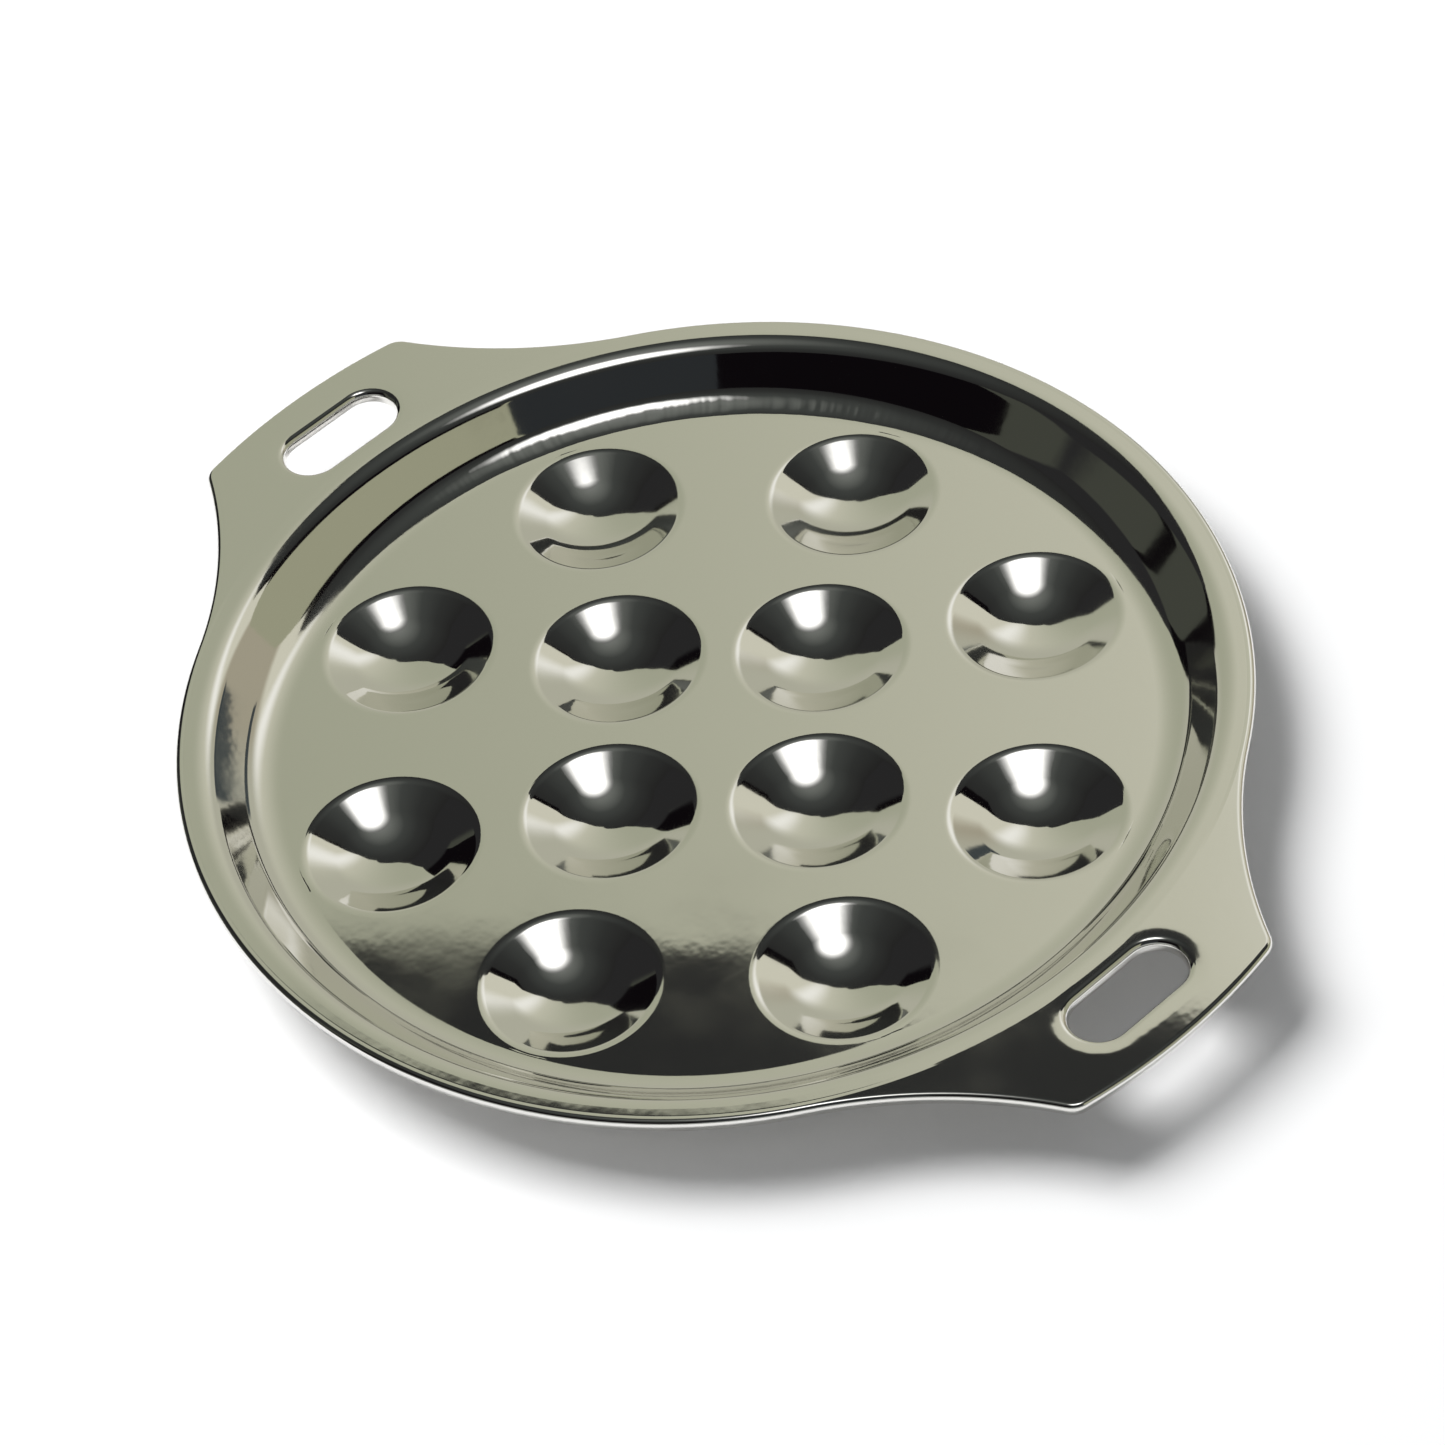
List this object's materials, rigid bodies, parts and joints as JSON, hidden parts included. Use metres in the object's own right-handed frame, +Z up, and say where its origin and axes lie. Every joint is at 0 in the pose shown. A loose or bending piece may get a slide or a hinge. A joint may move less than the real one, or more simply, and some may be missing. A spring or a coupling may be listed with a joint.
{
  "type": "escargot plate",
  "caption": "Round pressed metal plate with shallow round wells in a sunken tray, a flat turned-down flange and a slotted ear at each side.",
  "frame": {"origin": "the plate's middle, on the table that the wells stand on", "axes": "+X through the middle of an ear, +Z up out of the tray, +Y across the ears"},
  "size_m": [0.2528, 0.21, 0.0167],
  "materials": {
    "polished_steel": "mirror polished stainless steel"
  },
  "bodies": {
    "root": {"escargot_plate": "polished_steel"}
  },
  "joints": []
}
